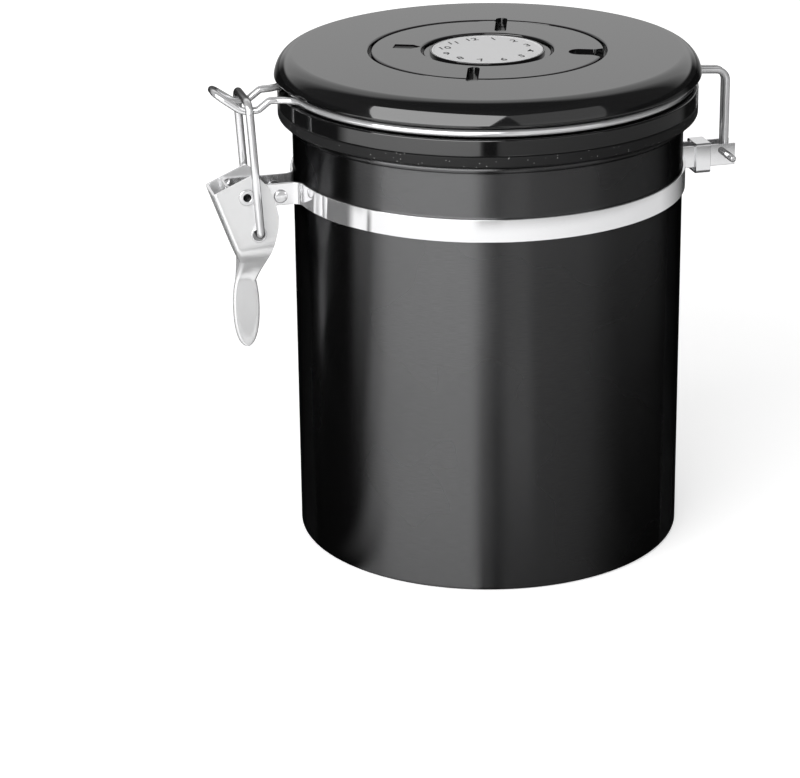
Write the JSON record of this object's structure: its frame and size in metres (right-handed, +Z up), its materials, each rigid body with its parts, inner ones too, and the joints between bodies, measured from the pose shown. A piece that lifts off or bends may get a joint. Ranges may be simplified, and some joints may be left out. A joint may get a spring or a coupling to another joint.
{
  "type": "coffee canister",
  "caption": "Round black steel canister with a hinged lid held by a wire ring, an over-centre wire clamp, a seal, a turning date dial and a one-way gas valve under it.",
  "frame": {"origin": "on the body's axis, on the surface that the foot ring stands on", "axes": "+Z up along the body's axis, +X towards the lid's hinge, -X towards the clamp"},
  "size_m": [0.1703, 0.1326, 0.1563],
  "materials": {
    "body_steel": "black, finely brushed round the body, satin sheen",
    "polished_steel": "polished bright steel",
    "lid_plastic": "glossy black",
    "seal_rubber": "matte dark grey, a little dust",
    "dial_plastic": "glossy black",
    "plate_silver": "pale satin silver with plain numbers",
    "valve_plastic": "fine matte black",
    "flap_rubber": "milky matte",
    "screen_steel": "pierced sheet, satin"
  },
  "bodies": {
    "canister": {"body_wall": "body_steel", "base_plate": "body_steel", "strap": "polished_steel", "ear_rivet": "polished_steel", "ear_spacer": "polished_steel", "lever_rivet": "polished_steel", "hinge_clip": "polished_steel"},
    "lever": {"lever": "polished_steel"},
    "bail": {"bail_wire": "polished_steel"},
    "lid": {"lid_wire": "polished_steel", "lid_cap": "lid_plastic", "lid_base": "lid_plastic", "gasket": "seal_rubber", "dial_hub": "dial_plastic", "number_plate": "plate_silver", "valve_body": "valve_plastic", "valve_cover": "valve_plastic", "filter_screen": "screen_steel"},
    "dial": {"dial_ring": "dial_plastic"},
    "flap": {"valve_flap": "flap_rubber"}
  },
  "joints": [
    {"name": "lid_hinge", "type": "hinge", "parent": "canister", "child": "lid", "pos_m": [0.0786, 0, 0.1166], "axis": [0, 1, 0], "range_deg": [0, 110]},
    {"name": "lever_pivot", "type": "hinge", "parent": "canister", "child": "lever", "pos_m": [-0.0784, 0, 0.1169], "axis": [0, 1, 0], "range_deg": [0, 145]},
    {"name": "bail_pivot", "type": "hinge", "parent": "lever", "child": "bail", "pos_m": [-0.075, 0, 0.1052], "axis": [0, 1, 0], "range_deg": [-108.75, 0]},
    {"name": "dial_turn", "type": "hinge", "parent": "lid", "child": "dial", "pos_m": [0, 0, 0.153], "axis": [0, 0, 1], "continuous": true},
    {"name": "flap_lift", "type": "slide", "parent": "lid", "child": "flap", "axis": [0, 0, 1], "range_m": [0, 0.0006]}
  ],
  "couplings": [
    {"joint": "bail_pivot", "follows": "lever_pivot", "ratio": -0.75}
  ]
}
